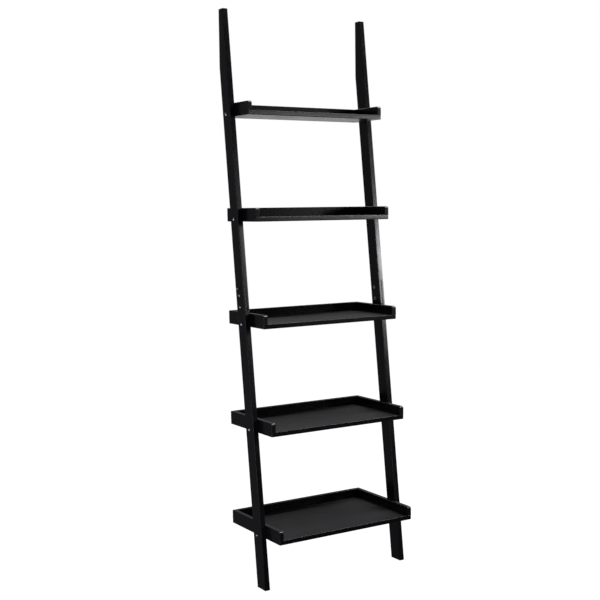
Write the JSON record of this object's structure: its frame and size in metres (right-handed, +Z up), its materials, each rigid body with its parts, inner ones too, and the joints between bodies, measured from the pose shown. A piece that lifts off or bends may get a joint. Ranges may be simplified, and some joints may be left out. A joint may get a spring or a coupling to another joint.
{
  "type": "ladder shelf",
  "caption": "Leaning ladder shelf in black painted wood: open trays, deeper towards the floor, between two rails that lean on a wall.",
  "frame": {"origin": "on the floor, midway across the shelf and midway between the wall and the front edge of the lowest tray", "axes": "+Z up, +X to the right seen from the front, +Y towards the wall; the trays open to -Y"},
  "size_m": [0.574, 0.3158, 1.9],
  "materials": {
    "painted_wood": "satin black paint over wood",
    "steel": "bright zinc plated steel",
    "painted_steel": "screw heads painted over in satin black",
    "beech": "plain beech"
  },
  "bodies": {
    "root": {"rail_lower_left": "painted_wood", "rail_lower_right": "painted_wood", "rail_upper_left": "painted_wood", "rail_upper_right": "painted_wood", "shelf_board_1": "painted_wood", "shelf_board_2": "painted_wood", "shelf_board_3": "painted_wood", "shelf_board_4": "painted_wood", "shelf_board_5": "painted_wood", "side_left_1": "painted_wood", "side_left_2": "painted_wood", "side_left_3": "painted_wood", "side_left_4": "painted_wood", "side_left_5": "painted_wood", "side_right_1": "painted_wood", "side_right_2": "painted_wood", "side_right_3": "painted_wood", "side_right_4": "painted_wood", "side_right_5": "painted_wood", "back_lip_1": "painted_wood", "back_lip_2": "painted_wood", "back_lip_3": "painted_wood", "back_lip_4": "painted_wood", "back_lip_5": "painted_wood", "tray_bolts_1": "steel", "tray_bolts_2": "steel", "tray_bolts_3": "steel", "tray_bolts_4": "steel", "tray_bolts_5": "steel", "barrel_nuts_1": "steel", "barrel_nuts_2": "steel", "barrel_nuts_3": "steel", "barrel_nuts_4": "steel", "barrel_nuts_5": "steel", "rail_dowels_1": "beech", "rail_dowels_2": "beech", "rail_dowels_3": "beech", "rail_dowels_4": "beech", "rail_dowels_5": "beech", "lip_dowels_1": "beech", "lip_dowels_2": "beech", "lip_dowels_3": "beech", "lip_dowels_4": "beech", "lip_dowels_5": "beech", "side_screws_1": "painted_steel", "side_screws_2": "painted_steel", "side_screws_3": "painted_steel", "side_screws_4": "painted_steel", "side_screws_5": "painted_steel", "lap_bolts_left": "steel", "lap_bolts_right": "steel", "lap_nuts_left": "steel", "lap_nuts_right": "steel"}
  },
  "joints": []
}
